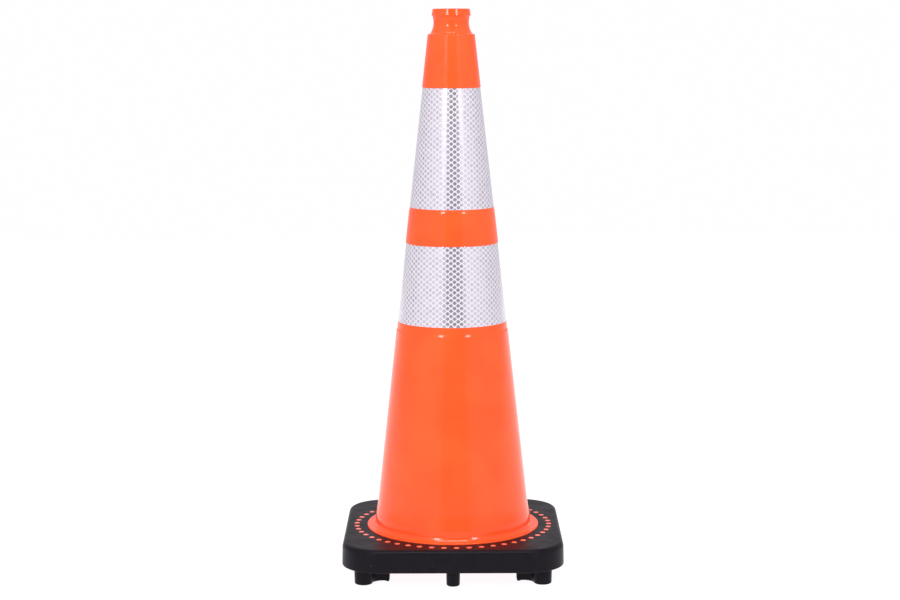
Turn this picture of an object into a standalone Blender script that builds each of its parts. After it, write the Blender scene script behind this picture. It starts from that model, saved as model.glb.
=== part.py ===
"""A 28 inch traffic cone: a moulded PVC shell, its over-moulded base and two reflective collars.

The shell is one thin-walled turned piece: a rimmed neck to grip, a shoulder, a straight taper with
two shallow seats for the collars, a small flare, and a joggled flange. The flange lies inside the
base, and a ring of studs stands up from it through the base's top skin, which locks the two pieces
together. The base is a rounded square slab on eight feet. The collars are strips of sheeting
wrapped round the taper in their seats, each lapped over itself at the back.

The frame has +Z up the cone's axis, z = 0 under the feet, and -Y as the front.
Sizes are in millimetres and become metres when the vertices are made.
"""

from math import asin, atan, atan2, cos, hypot, pi, radians, sin, sqrt, tau

import bmesh
import bpy
from mathutils import Matrix

MM = 0.001

# Driving dimensions
HEIGHT = 711.2  # 28 in from the floor to the rim
GAP = 0.3  # clearance between touching pieces
TURN_STEPS = 60  # facets round the turned surfaces

# The shell's taper: its radius at height z is GROUND_RADIUS - TAPER * z
GROUND_RADIUS = 105.7
TAPER = 0.1117
WALL = 3.6

# Rim, neck and shoulder
RIM_TOP_RADIUS = 23.0
RIM_RADIUS = 24.4
RIM_DEPTH = 8.6
RIM_ROUND = 0.8
BORE_RADIUS = 19.4
NECK_RADIUS = 22.4
NECK_BELOW_RIM = 17.0  # from the rim's top down to the narrowest point
NECK_CURVE = 25.0
NECK_END_BELOW = 27.2  # where the neck's curve turns into the shoulder's
SHOULDER_CURVE = 5.5
SHOULDER_SLOPE = radians(8)
SHOULDER_Z = 679.6
SHOULDER_ROUND = 1.2

# Collars and their seats: 6 in and 4 in of sheeting, measured along the slope
UPPER_COLLAR_DROP = 98.3  # from the rim's top to the upper collar's top edge
UPPER_COLLAR_LENGTH = 152.4
COLLAR_SPACING = 45.1
LOWER_COLLAR_LENGTH = 101.6
SEAT_DEPTH = 1.5
SEAT_ROUND = 0.9
SHEET = 0.45
LAP_WIDTH = 12.0
LAP_RAMP = 3.0
LAP_STEP = 0.3
LAP_STEPS = 4  # facets across the lap

# Flare, ledge and flange at the shell's foot
FLARE_START_Z = 76.0
FLARE_END_Z = 64.0
FLARE_RADIUS = 100.2
FOOT_Z = 54.3
FOOT_RADIUS = 100.9
FOOT_FILLET = 3.8
LEDGE_Z = 50.1
LEDGE_RADIUS = 111.0
LEDGE_ROUND = 0.8
FLANGE_THICKNESS = 4.0
FLANGE_TOP_Z = 43.6
FLANGE_RADIUS = 131.0
JOGGLE_RADIUS = 106.5  # where the flange's underside steps down

# Studs on the flange
STUD_COUNT = 50
STUD_CIRCLE = 124.6
STUD_RADIUS = 3.55
STUD_TOP_Z = 48.5
STUD_TURN = radians(-1.55)  # from the right-hand side to the first stud, anticlockwise
STUD_SIDES = 8

# Base
BASE_HALF = 139.4
BASE_CORNER = 50.0
BASE_TOP_Z = 48.3
BASE_UNDER_Z = 19.6
BASE_FILLET = 6.0
BASE_DRAFT = 0.6
BASE_UNDER_ROUND = 1.2
BASE_BORE_TOP = 98.6
BASE_BORE_FOOT = 101.6

# Feet: a round one in the middle of each side, and a keyed one at each corner
SIDE_FOOT_CIRCLE = 122.2
SIDE_FOOT_RADIUS = 8.3
CORNER_PAD_CIRCLE = 158.0
CORNER_PAD_RADIUS = 11.3
CORNER_NECK = 12.8  # the hollow flank between the pad and the crossbar
CROSSBAR_OUTER = 131.0
CROSSBAR_INNER = 122.5
CROSSBAR_REACH = 79.5  # from the cone's middle plane to the crossbar's end
SIDE_FOOT_SIDES = 16
FOOT_DRAFT = 0.5
FOOT_ROUND = 2.0
FOOT_BURY = 3.0  # how far a foot reaches up into the slab before they are joined


def wall_radius(z):
    """The shell's outer radius on its straight taper at height z."""
    return GROUND_RADIUS - TAPER * z


def arc(centre_x, centre_y, radius, start, end, steps):
    """Points along an arc, both ends included; the angles are in radians."""
    return [
        (
            centre_x + radius * cos(start + (end - start) * i / steps),
            centre_y + radius * sin(start + (end - start) * i / steps),
        )
        for i in range(steps + 1)
    ]


def collar_spans():
    """(top, bottom) heights of the upper and the lower collar's seats."""
    slope = cos(atan(TAPER))
    upper_top = HEIGHT - UPPER_COLLAR_DROP
    upper_bottom = upper_top - UPPER_COLLAR_LENGTH * slope
    lower_top = upper_bottom - COLLAR_SPACING
    lower_bottom = lower_top - LOWER_COLLAR_LENGTH * slope
    return (upper_top, upper_bottom), (lower_top, lower_bottom)


def rim_and_shoulder_profile():
    """(radius, z) down the outside from the rim's top edge to the shoulder's rounded edge."""
    rim_foot = HEIGHT - RIM_DEPTH
    neck_z = HEIGHT - NECK_BELOW_RIM
    neck_end_z = HEIGHT - NECK_END_BELOW
    neck_centre = NECK_RADIUS + NECK_CURVE
    points = arc(RIM_TOP_RADIUS, HEIGHT - RIM_ROUND, RIM_ROUND, pi / 2, 0, 2)
    points.append((RIM_RADIUS, rim_foot + RIM_ROUND))
    neck_start = pi - sqrt(2 * (RIM_RADIUS - RIM_ROUND - NECK_RADIUS) / NECK_CURVE)
    turn = (neck_z - neck_end_z) / NECK_CURVE
    points += arc(neck_centre, neck_z, NECK_CURVE, neck_start, pi + turn, 6)
    neck_end_radius = points[-1][0]
    shoulder_x = neck_end_radius + SHOULDER_CURVE * cos(turn)
    shoulder_y = points[-1][1] + SHOULDER_CURVE * sin(turn)
    flat = 3 * pi / 2 - SHOULDER_SLOPE
    points += arc(shoulder_x, shoulder_y, SHOULDER_CURVE, pi + turn, flat, 4)[1:]
    edge_x = wall_radius(SHOULDER_Z) - SHOULDER_ROUND
    points += arc(edge_x, SHOULDER_Z, SHOULDER_ROUND, pi / 2, 0, 2)
    return points


def seat_profile(top, bottom):
    """(radius, z) down one collar's seat, whose lower step has a rounded upper corner."""
    corner_x = wall_radius(bottom) - SEAT_ROUND
    return [
        (wall_radius(top), top),
        (wall_radius(top) - SEAT_DEPTH, top),
        (wall_radius(bottom) - SEAT_DEPTH, bottom),
        *arc(corner_x, bottom - SEAT_ROUND, SEAT_ROUND, pi / 2, 0, 2),
    ]


def foot_profile():
    """(radius, z) down the flare and out over the ledge to the flange's outer edge."""
    fillet_x = FOOT_RADIUS + FOOT_FILLET
    fillet = arc(fillet_x, LEDGE_Z + FOOT_FILLET, FOOT_FILLET, pi, 3 * pi / 2, 3)
    edge_x = LEDGE_RADIUS - LEDGE_ROUND
    edge = arc(edge_x, LEDGE_Z - LEDGE_ROUND, LEDGE_ROUND, pi / 2, 0, 2)
    return [
        (wall_radius(FLARE_START_Z), FLARE_START_Z),
        (FLARE_RADIUS, FLARE_END_Z),
        (FOOT_RADIUS, FOOT_Z),
        *fillet,
        *edge,
        (LEDGE_RADIUS, FLANGE_TOP_Z),
        (FLANGE_RADIUS, FLANGE_TOP_Z),
    ]


def inside_profile():
    """(radius, z) along the flange's underside and up the inside to the bore's top."""
    flange_foot = FLANGE_TOP_Z - FLANGE_THICKNESS
    ledge_foot = LEDGE_Z - FLANGE_THICKNESS
    shoulder_z = SHOULDER_Z - 2 * WALL
    turn_z = HEIGHT - NECK_END_BELOW
    return [
        (FLANGE_RADIUS, flange_foot),
        (JOGGLE_RADIUS, flange_foot),
        (JOGGLE_RADIUS, ledge_foot),
        (wall_radius(ledge_foot) - WALL, ledge_foot),
        (wall_radius(shoulder_z) - WALL, shoulder_z),
        (BORE_RADIUS + WALL, SHOULDER_Z - WALL / 2),
        (BORE_RADIUS, turn_z),
        (BORE_RADIUS, HEIGHT),
    ]


def shell_profile():
    """The shell's whole closed section as (radius, z)."""
    upper, lower = collar_spans()
    return [
        *rim_and_shoulder_profile(),
        *seat_profile(*upper),
        *seat_profile(*lower),
        *foot_profile(),
        *inside_profile(),
    ]


def seat_cutter_profile():
    """The room that the flange and the way through need in the base, as (radius, z)."""
    flange_foot = FLANGE_TOP_Z - FLANGE_THICKNESS
    ledge_foot = LEDGE_Z - FLANGE_THICKNESS
    below = BASE_UNDER_Z - FOOT_BURY
    above = LEDGE_Z + FOOT_BURY
    slope = (BASE_BORE_FOOT - BASE_BORE_TOP) / (ledge_foot - BASE_UNDER_Z)
    return [
        (0, above),
        (LEDGE_RADIUS + GAP, above),
        (LEDGE_RADIUS + GAP, FLANGE_TOP_Z + GAP),
        (FLANGE_RADIUS + GAP, FLANGE_TOP_Z + GAP),
        (FLANGE_RADIUS + GAP, flange_foot - GAP),
        (JOGGLE_RADIUS - GAP, flange_foot - GAP),
        (JOGGLE_RADIUS - GAP, ledge_foot - GAP),
        (BASE_BORE_TOP, ledge_foot - GAP),
        (BASE_BORE_FOOT + slope * FOOT_BURY, below),
        (0, below),
    ]


def new_object(name, mesh_source):
    """A linked object made from a bmesh, which is freed."""
    bmesh.ops.recalc_face_normals(mesh_source, faces=mesh_source.faces)
    mesh = bpy.data.meshes.new(name)
    mesh_source.to_mesh(mesh)
    mesh_source.free()
    obj = bpy.data.objects.new(name, mesh)
    bpy.context.scene.collection.objects.link(obj)
    return obj


def turned(name, profile):
    """A solid turned about the Z axis from a closed (radius, z) section."""
    bm = bmesh.new()
    corners = [bm.verts.new((r * MM, 0, z * MM)) for r, z in profile]
    edges = [bm.edges.new(pair) for pair in zip(corners, corners[1:])]
    if profile[0][0] > 0:
        edges.append(bm.edges.new((corners[-1], corners[0])))
    bmesh.ops.spin(
        bm,
        geom=corners + edges,
        axis=(0, 0, 1),
        cent=(0, 0, 0),
        angle=tau,
        steps=TURN_STEPS,
        use_merge=True,
    )
    bmesh.ops.remove_doubles(bm, verts=bm.verts, dist=0.01 * MM)
    return new_object(name, bm)


def lofted(bm, outlines):
    """Adds a closed body through (points, z) outlines that all have the same number of points."""
    loops = [
        [bm.verts.new((x * MM, y * MM, z * MM)) for x, y in points]
        for points, z in outlines
    ]
    count = len(loops[0])
    for lower, upper in zip(loops, loops[1:]):
        for i in range(count):
            j = (i + 1) % count
            bm.faces.new((lower[i], lower[j], upper[j], upper[i]))
    bm.faces.new(reversed(loops[0]))
    bm.faces.new(loops[-1])


def circle(centre_x, centre_y, radius, sides):
    """The corners of a regular polygon in plan."""
    step = tau / sides
    return [
        (centre_x + radius * cos(step * i), centre_y + radius * sin(step * i))
        for i in range(sides)
    ]


def rounded_square(half, corner):
    """A square outline with round corners, in plan."""
    points = []
    for quarter in range(4):
        middle = radians(45 + 90 * quarter)
        reach = (half - corner) * sqrt(2)
        x, y = reach * cos(middle), reach * sin(middle)
        points += arc(x, y, corner, middle - pi / 4, middle + pi / 4, 7)
    return points


def turned_round(points, angle):
    """Plan points turned about the cone's axis."""
    return [
        (x * cos(angle) - y * sin(angle), x * sin(angle) + y * cos(angle))
        for x, y in points
    ]


def inset(points, distance):
    """A plan outline, listed anticlockwise, drawn in by a distance at each corner."""
    moved = []
    for i, (x, y) in enumerate(points):
        before, after = points[i - 1], points[(i + 1) % len(points)]
        along_x, along_y = after[0] - before[0], after[1] - before[1]
        length = hypot(along_x, along_y)
        moved.append((x - distance * along_y / length, y + distance * along_x / length))
    return moved


def corner_foot_outline():
    """A corner foot in plan on the +X axis: a round pad that necks down to a crossbar.

    The neck's hollow flank touches both the pad and the crossbar's outer circle.
    """
    from_axis = CROSSBAR_OUTER + CORNER_NECK
    from_pad = CORNER_PAD_RADIUS + CORNER_NECK
    neck_x = (CORNER_PAD_CIRCLE**2 + from_axis**2 - from_pad**2) / (2 * CORNER_PAD_CIRCLE)
    neck_y = sqrt(from_axis**2 - neck_x**2)
    pad_end = atan2(neck_y, neck_x - CORNER_PAD_CIRCLE)
    bar_end = atan2(neck_y, neck_x)
    inner_end = pi / 4 - asin(CROSSBAR_REACH / CROSSBAR_INNER)
    half = [
        *arc(CORNER_PAD_CIRCLE, 0, CORNER_PAD_RADIUS, 0, pad_end, 6),
        *arc(neck_x, neck_y, CORNER_NECK, pad_end + pi, bar_end + pi, 6)[1:],
        *arc(0, 0, CROSSBAR_INNER, inner_end, 0, 2),
    ]
    return half + [(x, -y) for x, y in reversed(half[1:-1])]


def add_studs(bm, radius, foot, top):
    """Adds the ring of studs, or the holes for them, standing from foot to top."""
    for i in range(STUD_COUNT):
        angle = STUD_TURN + tau * i / STUD_COUNT
        outline = circle(STUD_CIRCLE * cos(angle), STUD_CIRCLE * sin(angle), radius, STUD_SIDES)
        lofted(bm, [(outline, foot), (outline, top)])


def add_feet(bm):
    """Adds the eight feet, each reaching up into the slab."""
    edge = [
        (FOOT_ROUND, 0),
        (FOOT_ROUND * (1 - cos(pi / 4)), FOOT_ROUND * (1 - sin(pi / 4))),
        (0, FOOT_ROUND),
        (-FOOT_DRAFT, BASE_UNDER_Z + FOOT_BURY),
    ]
    corner = corner_foot_outline()
    for i in range(4):
        side_turn = i * pi / 2
        x, y = SIDE_FOOT_CIRCLE * cos(side_turn), SIDE_FOOT_CIRCLE * sin(side_turn)
        for outline in (
            circle(x, y, SIDE_FOOT_RADIUS, SIDE_FOOT_SIDES),
            turned_round(corner, side_turn + pi / 4),
        ):
            lofted(bm, [(inset(outline, by), z) for by, z in edge])


def add_boolean(obj, other, operation):
    """Joins or cuts obj with a helper, which is hidden from the build."""
    other.hide_render = True
    other.display_type = "WIRE"
    modifier = obj.modifiers.new(f"{operation.title()} {other.name}", "BOOLEAN")
    modifier.operation = operation
    modifier.solver = "EXACT"
    modifier.object = other


def shaded(obj, crease=radians(35)):
    """Smooth shading with the sharp edges kept."""
    obj.data.shade_smooth()
    obj.data.set_sharp_from_angle(angle=crease)


def material(name, colour, roughness, metallic=0.0):
    """A Principled BSDF material; the colour is linear RGB."""
    made = bpy.data.materials.new(name)
    made.use_nodes = True
    shader = made.node_tree.nodes["Principled BSDF"]
    shader.inputs["Base Color"].default_value = (*colour, 1)
    shader.inputs["Roughness"].default_value = roughness
    shader.inputs["Metallic"].default_value = metallic
    return made


def make_cone_body(orange):
    """The orange shell with its flange and studs."""
    body = turned("cone_body", shell_profile())
    bm = bmesh.new()
    root = FLANGE_TOP_Z - FLANGE_THICKNESS / 2
    add_studs(bm, STUD_RADIUS, root, STUD_TOP_Z)
    studs = new_object("studs", bm)
    add_boolean(body, studs, "UNION")
    body.data.materials.append(orange)
    shaded(body)
    return body


def make_base(black):
    """The black base: slab, feet, and the room for the flange and its studs."""
    bm = bmesh.new()
    fillet = arc(-BASE_FILLET, BASE_TOP_Z - BASE_FILLET, BASE_FILLET, 0, pi / 2, 3)
    edge = [
        (-BASE_UNDER_ROUND, BASE_UNDER_Z),
        (0, BASE_UNDER_Z + BASE_UNDER_ROUND),
        *((x - BASE_DRAFT, z) for x, z in fillet),
    ]
    lofted(bm, [(rounded_square(BASE_HALF + x, BASE_CORNER + x), z) for x, z in edge])
    base = new_object("base", bm)

    bm = bmesh.new()
    add_feet(bm)
    add_boolean(base, new_object("feet", bm), "UNION")

    add_boolean(base, turned("flange_room", seat_cutter_profile()), "DIFFERENCE")

    bm = bmesh.new()
    add_studs(bm, STUD_RADIUS + GAP, FLANGE_TOP_Z, BASE_TOP_Z + FOOT_BURY)
    add_boolean(base, new_object("stud_holes", bm), "DIFFERENCE")
    base.data.materials.append(black)
    shaded(base)
    return base


def lap_lift(angle, radius):
    """How far the sheet's outer face stands out at an angle from the back, over its lapped end."""
    along = angle * radius
    if along > LAP_WIDTH + LAP_STEP or along < -LAP_RAMP:
        return 0
    if along > LAP_WIDTH:
        return SHEET * (LAP_WIDTH + LAP_STEP - along) / LAP_STEP
    return SHEET * min(1, (along + LAP_RAMP) / LAP_RAMP)


def make_collar(name, span, white):
    """A strip of reflective sheeting wrapped round its seat, lapped at the back."""
    top, bottom = span[0] - GAP, span[1] + GAP
    middle = wall_radius((top + bottom) / 2)
    lap = [LAP_WIDTH * i / LAP_STEPS / middle for i in range(LAP_STEPS + 1)]
    lap_end = (LAP_WIDTH + LAP_STEP) / middle
    rest = tau - lap_end - LAP_RAMP / middle
    angles = lap + [lap_end + rest * i / TURN_STEPS for i in range(TURN_STEPS + 1)]
    bm = bmesh.new()
    sections = []
    for angle in angles:
        from_back = angle if angle < pi else angle - tau
        lift = lap_lift(from_back, middle)
        direction = pi / 2 + angle
        section = []
        for z, out in ((top, 0), (top, SHEET + lift), (bottom, SHEET + lift), (bottom, 0)):
            r = wall_radius(z) - SEAT_DEPTH + GAP + out
            section.append(bm.verts.new((r * cos(direction) * MM, r * sin(direction) * MM, z * MM)))
        sections.append(section)
    for i, here in enumerate(sections):
        after = sections[(i + 1) % len(sections)]
        for j in range(4):
            k = (j + 1) % 4
            bm.faces.new((here[j], here[k], after[k], after[j]))
    collar = new_object(name, bm)
    collar.data.materials.append(white)
    shaded(collar)
    return collar


def main():
    for old in list(bpy.data.objects):
        bpy.data.objects.remove(old)
    orange = material("orange PVC", (1.0, 0.13, 0.03), 0.25)
    black = material("black recycled PVC", (0.022, 0.021, 0.024), 0.5)
    white = material("white prismatic sheeting", (0.82, 0.82, 0.85), 0.2)
    cone = bpy.data.objects.new("traffic_cone", None)
    bpy.context.scene.collection.objects.link(cone)
    upper, lower = collar_spans()
    pieces = [
        make_cone_body(orange),
        make_base(black),
        make_collar("upper_collar", upper, white),
        make_collar("lower_collar", lower, white),
    ]
    for piece in pieces:
        piece.parent = cone
        piece.matrix_parent_inverse = Matrix.Identity(4)


main()
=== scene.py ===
"""A 28 in traffic cone: an orange shell, two reflective collars and a black moulded base.

Sizes are in millimetres and angles in radians. Meshes and node trees are in metres, so each
length passes through MM once, where it enters one of them.
"""

import logging
from collections.abc import Iterable, Mapping, Sequence
from dataclasses import dataclass
from enum import Enum
from functools import partial
from math import asin, atan, atan2, ceil, cos, hypot, pi, radians, sin, sqrt, tan, tau
from typing import Any

import bmesh
import bpy
from mathutils import Matrix, Vector


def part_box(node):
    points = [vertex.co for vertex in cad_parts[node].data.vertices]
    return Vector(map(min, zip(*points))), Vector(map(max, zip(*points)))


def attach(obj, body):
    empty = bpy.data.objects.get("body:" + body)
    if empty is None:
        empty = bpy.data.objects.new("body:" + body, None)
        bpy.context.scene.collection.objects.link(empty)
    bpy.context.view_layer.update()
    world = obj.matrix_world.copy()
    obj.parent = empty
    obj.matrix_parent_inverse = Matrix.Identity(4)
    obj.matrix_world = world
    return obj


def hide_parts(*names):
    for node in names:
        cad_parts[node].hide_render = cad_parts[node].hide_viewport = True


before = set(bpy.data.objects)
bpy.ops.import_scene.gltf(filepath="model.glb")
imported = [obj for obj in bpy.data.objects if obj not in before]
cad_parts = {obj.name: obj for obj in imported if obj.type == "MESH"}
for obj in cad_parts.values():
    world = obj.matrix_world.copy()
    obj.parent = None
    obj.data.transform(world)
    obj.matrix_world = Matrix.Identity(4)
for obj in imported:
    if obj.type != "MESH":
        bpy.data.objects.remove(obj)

log = logging.getLogger("traffic_cone")

# A fillet's chords turn by up to FILLET_STEP, and it has a point GUARD past each of its ends. An
# edge is sharp from an angle of CREASE on. Points nearer to each other than WELD are merged.
MM = 0.001
FILLET_STEP = radians(12)
GUARD = 0.35
CREASE = radians(32)
WELD = 0.001

Point = tuple[float, float]
Pair = tuple[float, float]
Object = bpy.types.Object
Material = bpy.types.Material
Node = bpy.types.Node
Socket = bpy.types.NodeSocket
Tree = bpy.types.NodeTree

# The nodes that the finishes use most, and the settings that go with them. MIDDLE is the part of
# its range that noise mostly keeps to.
NOISE = "ShaderNodeTexNoise"
RANGE = "ShaderNodeMapRange"
MATH = "ShaderNodeMath"
MIX = "ShaderNodeMix"
BUMP = "ShaderNodeBump"
SMOOTH = {"interpolation_type": "SMOOTHSTEP"}
COLOURS = {"data_type": "RGBA"}
MIDDLE = {"From Min": 0.35, "From Max": 0.65}


class Slot(Enum):
    """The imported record's material slots."""

    ORANGE = "orange_pvc"
    BLACK = "black_pvc"
    WHITE = "white_sheeting"


class Cut(Enum):
    """How one closed mesh is combined with another."""

    JOIN = "UNION"
    REMOVE = "DIFFERENCE"


class Kind(Enum):
    """The node group sockets that the trees here use."""

    GEOMETRY = "NodeSocketGeometry"
    COUNT = "NodeSocketInt"
    LENGTH = "NodeSocketFloat"
    MATERIAL = "NodeSocketMaterial"


# ----- Outlines -----


@dataclass(frozen=True)
class Corner:
    """A corner of a section or plan outline, with the radius that it is rounded to."""

    x: float
    y: float
    round: float = 0.0


def arc(centre: Point, radius: float, start: float, end: float, steps: int) -> list[Point]:
    """Lists the points of an arc, with both ends, from one angle to another in equal chords."""
    turns = (start + (end - start) * i / steps for i in range(steps + 1))
    return [(centre[0] + radius * cos(turn), centre[1] + radius * sin(turn)) for turn in turns]


def circle(centre: Point, radius: float, sides: int) -> list[Point]:
    """Lists a circle's points, anticlockwise from its +X side."""
    return arc(centre, radius, 0, tau, sides)[:-1]


def fillet(before: Corner, here: Corner, after: Corner) -> list[Point]:
    """Rounds one corner. A guard point on each straight side keeps the shading flat there.

    Args:
        before: The corner before it.
        here: The corner to round.
        after: The corner after it.

    Returns:
        The points that stand for the corner.
    """
    corner = Vector((here.x, here.y))
    back = (Vector((before.x, before.y)) - corner).normalized()
    on = (Vector((after.x, after.y)) - corner).normalized()
    half = back.angle(on) / 2
    reach = here.round / tan(half)
    centre = corner + (back + on).normalized() * (here.round / sin(half))
    first = corner + back * reach - centre
    last = corner + on * reach - centre
    start = atan2(first.y, first.x)
    sweep = (atan2(last.y, last.x) - start + pi) % tau - pi
    steps = max(2, ceil(abs(sweep) / FILLET_STEP))
    inner = arc(tuple(centre), here.round, start, start + sweep, steps)
    guard = min(GUARD, 0.5 * here.round)
    return [tuple(corner + back * (reach + guard)), *inner, tuple(corner + on * (reach + guard))]


def rounded(corners: Sequence[Corner]) -> list[Point]:
    """Rounds a closed outline's corners.

    Args:
        corners: The outline's corners in order.

    Returns:
        The outline's points.
    """
    points: list[Point] = []
    for i, here in enumerate(corners):
        if here.round:
            points += fillet(corners[i - 1], here, corners[(i + 1) % len(corners)])
        else:
            points.append((here.x, here.y))
    return points


def inset(points: Sequence[Point], distance: float) -> list[Point]:
    """Draws an anticlockwise plan outline in.

    Args:
        points: The outline.
        distance: How far each point moves in.

    Returns:
        The smaller outline, with as many points.
    """
    moved = []
    for i, (x, y) in enumerate(points):
        before, after = points[i - 1], points[(i + 1) % len(points)]
        along = (after[0] - before[0], after[1] - before[1])
        length = hypot(*along)
        moved.append((x - distance * along[1] / length, y + distance * along[0] / length))
    return moved


def turned_round(points: Iterable[Point], angle: float) -> list[Point]:
    """Turns plan points about the cone's axis, anticlockwise by an angle."""
    c, s = cos(angle), sin(angle)
    return [(x * c - y * s, x * s + y * c) for x, y in points]


# ----- Meshes -----


def new_object(name: str, data: bpy.types.ID) -> Object:
    """Links a new object.

    Args:
        name: The object's name.
        data: Its mesh, lamp or camera.

    Returns:
        The object, at the origin.
    """
    obj = bpy.data.objects.new(name, data)
    bpy.context.scene.collection.objects.link(obj)
    return obj


def object_from_bmesh(name: str, bm: bmesh.types.BMesh) -> Object:
    """Turns a bmesh into an object whose faces point outwards, and frees it.

    Args:
        name: The object's name.
        bm: The bmesh.

    Returns:
        The object.
    """
    bmesh.ops.recalc_face_normals(bm, faces=bm.faces)
    mesh = bpy.data.meshes.new(name)
    bm.to_mesh(mesh)
    bm.free()
    return new_object(name, mesh)


def add_loft(bm: bmesh.types.BMesh, outlines: Sequence[tuple[Sequence[Point], float]]) -> None:
    """Adds a closed body through plan outlines.

    Args:
        bm: The bmesh to add to.
        outlines: Pairs of an outline and its height, all with the same number of points.
    """
    loops = [[bm.verts.new((x * MM, y * MM, z * MM)) for x, y in plan] for plan, z in outlines]
    count = len(loops[0])
    for lower, upper in zip(loops, loops[1:]):
        for i in range(count):
            j = (i + 1) % count
            bm.faces.new((lower[i], lower[j], upper[j], upper[i]))
    bm.faces.new(reversed(loops[0]))
    bm.faces.new(loops[-1])


def baked(obj: Object) -> Object:
    """Applies an object's modifiers, so that only its plain mesh is left.

    Args:
        obj: The object.

    Returns:
        The same object.
    """
    shape = obj.evaluated_get(bpy.context.evaluated_depsgraph_get())
    mesh = bpy.data.meshes.new_from_object(shape)
    obj.modifiers.clear()
    obj.data = mesh
    return obj


def combine(obj: Object, other: Object, cut: Cut) -> None:
    """Joins a helper to an object or cuts it out of it, and removes the helper.

    Args:
        obj: The object that is changed.
        other: The helper.
        cut: Join or remove.
    """
    modifier = obj.modifiers.new(other.name, "BOOLEAN")
    modifier.operation = cut.value
    modifier.solver = "EXACT"
    modifier.object = other
    baked(obj)
    bpy.data.objects.remove(other)


def shaded(obj: Object, crease: float = CREASE) -> Object:
    """Shades an object smooth, apart from its sharp edges.

    Args:
        obj: The object.
        crease: The angle from which an edge is sharp.

    Returns:
        The same object.
    """
    obj.data.shade_smooth()
    obj.data.set_sharp_from_angle(angle=crease)
    return obj


def placed(piece: Object, node: str, material: Material) -> Object:
    """Dresses a finished piece and has it stand for its CAD node.

    Args:
        piece: The piece.
        node: The CAD node that it replaces.
        material: Its material.

    Returns:
        The same piece.
    """
    piece.data.materials.clear()
    piece.data.materials.append(material)
    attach(piece, "root")
    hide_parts(node)
    return piece


# ----- Node trees -----


def add_node(
    tree: Tree, kind: str, inputs: Mapping[Any, Any] | None = None, **settings: Any
) -> Node:
    """Adds a node with its settings and links.

    Args:
        tree: The tree.
        kind: The node's type.
        inputs: For each input, by name or number: a value, the output that feeds it, or the node
            whose first output feeds it.
        **settings: The node's own properties.

    Returns:
        The node.
    """
    node = tree.nodes.new(kind)
    for name, value in settings.items():
        setattr(node, name, value)
    for key, value in (inputs or {}).items():
        feed = value.outputs[0] if isinstance(value, Node) else value
        if isinstance(feed, Socket):
            tree.links.new(feed, node.inputs[key])
        else:
            node.inputs[key].default_value = feed
    return node


def new_geometry_tree(name: str, inputs: Mapping[str, Kind]) -> tuple[Tree, Node]:
    """Starts a Geometry Nodes tree that takes a geometry and the named inputs.

    Args:
        name: The tree's name.
        inputs: The sockets after the geometry, with their kinds.

    Returns:
        The tree and its input node.
    """
    tree = bpy.data.node_groups.new(name, "GeometryNodeTree")
    made = {"Geometry": Kind.GEOMETRY, **inputs}
    for socket, kind in made.items():
        tree.interface.new_socket(socket, in_out="INPUT", socket_type=kind.value)
    tree.interface.new_socket("Geometry", in_out="OUTPUT", socket_type=Kind.GEOMETRY.value)
    return tree, add_node(tree, "NodeGroupInput")


def end_geometry_tree(tree: Tree, geometry: Node, material: Socket) -> None:
    """Ends a tree in Realize Instances, Set Material and the output.

    Args:
        tree: The tree.
        geometry: The node that made the geometry.
        material: The material for it.
    """
    real = add_node(tree, "GeometryNodeRealizeInstances", {0: geometry})
    dressed = add_node(tree, "GeometryNodeSetMaterial", {0: real, "Material": material})
    add_node(tree, "NodeGroupOutput", {0: dressed})


def run_tree(obj: Object, tree: Tree, values: Mapping[str, Any]) -> Object:
    """Runs a tree on an object and keeps the plain mesh that it makes.

    Args:
        obj: The object that holds the tree's starting mesh.
        tree: The tree.
        values: The named inputs' values.

    Returns:
        The same object, with its faces pointing outwards.
    """
    modifier = obj.modifiers.new(tree.name, "NODES")
    modifier.node_group = tree
    sockets = {s.name: s.identifier for s in tree.interface.items_tree if s.in_out == "INPUT"}
    for name, value in values.items():
        modifier[sockets[name]] = value
    baked(obj)
    bm = bmesh.new()
    bm.from_mesh(obj.data)
    bmesh.ops.remove_doubles(bm, verts=bm.verts, dist=WELD * MM)
    bmesh.ops.recalc_face_normals(bm, faces=bm.faces)
    bm.to_mesh(obj.data)
    bm.free()
    return obj


def turning_tree() -> Tree:
    """Builds the tree that turns a closed section about the cone's axis.

    The section is a loop of edges in the XY plane. X is the distance out from the guide circle
    and Y the distance down.

    Returns:
        The tree.
    """
    sizes = {"Segments": Kind.COUNT, "Guide radius": Kind.LENGTH, "Material": Kind.MATERIAL}
    tree, start = new_geometry_tree("Turn a section", sizes)
    given = start.outputs
    section = add_node(tree, "GeometryNodeMeshToCurve", {0: given["Geometry"]})
    size = {"Resolution": given["Segments"], "Radius": given["Guide radius"]}
    guide = add_node(tree, "GeometryNodeCurvePrimitiveCircle", size)
    solid = add_node(tree, "GeometryNodeCurveToMesh", {"Curve": guide, "Profile Curve": section})
    end_geometry_tree(tree, solid, given["Material"])
    return tree


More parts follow.
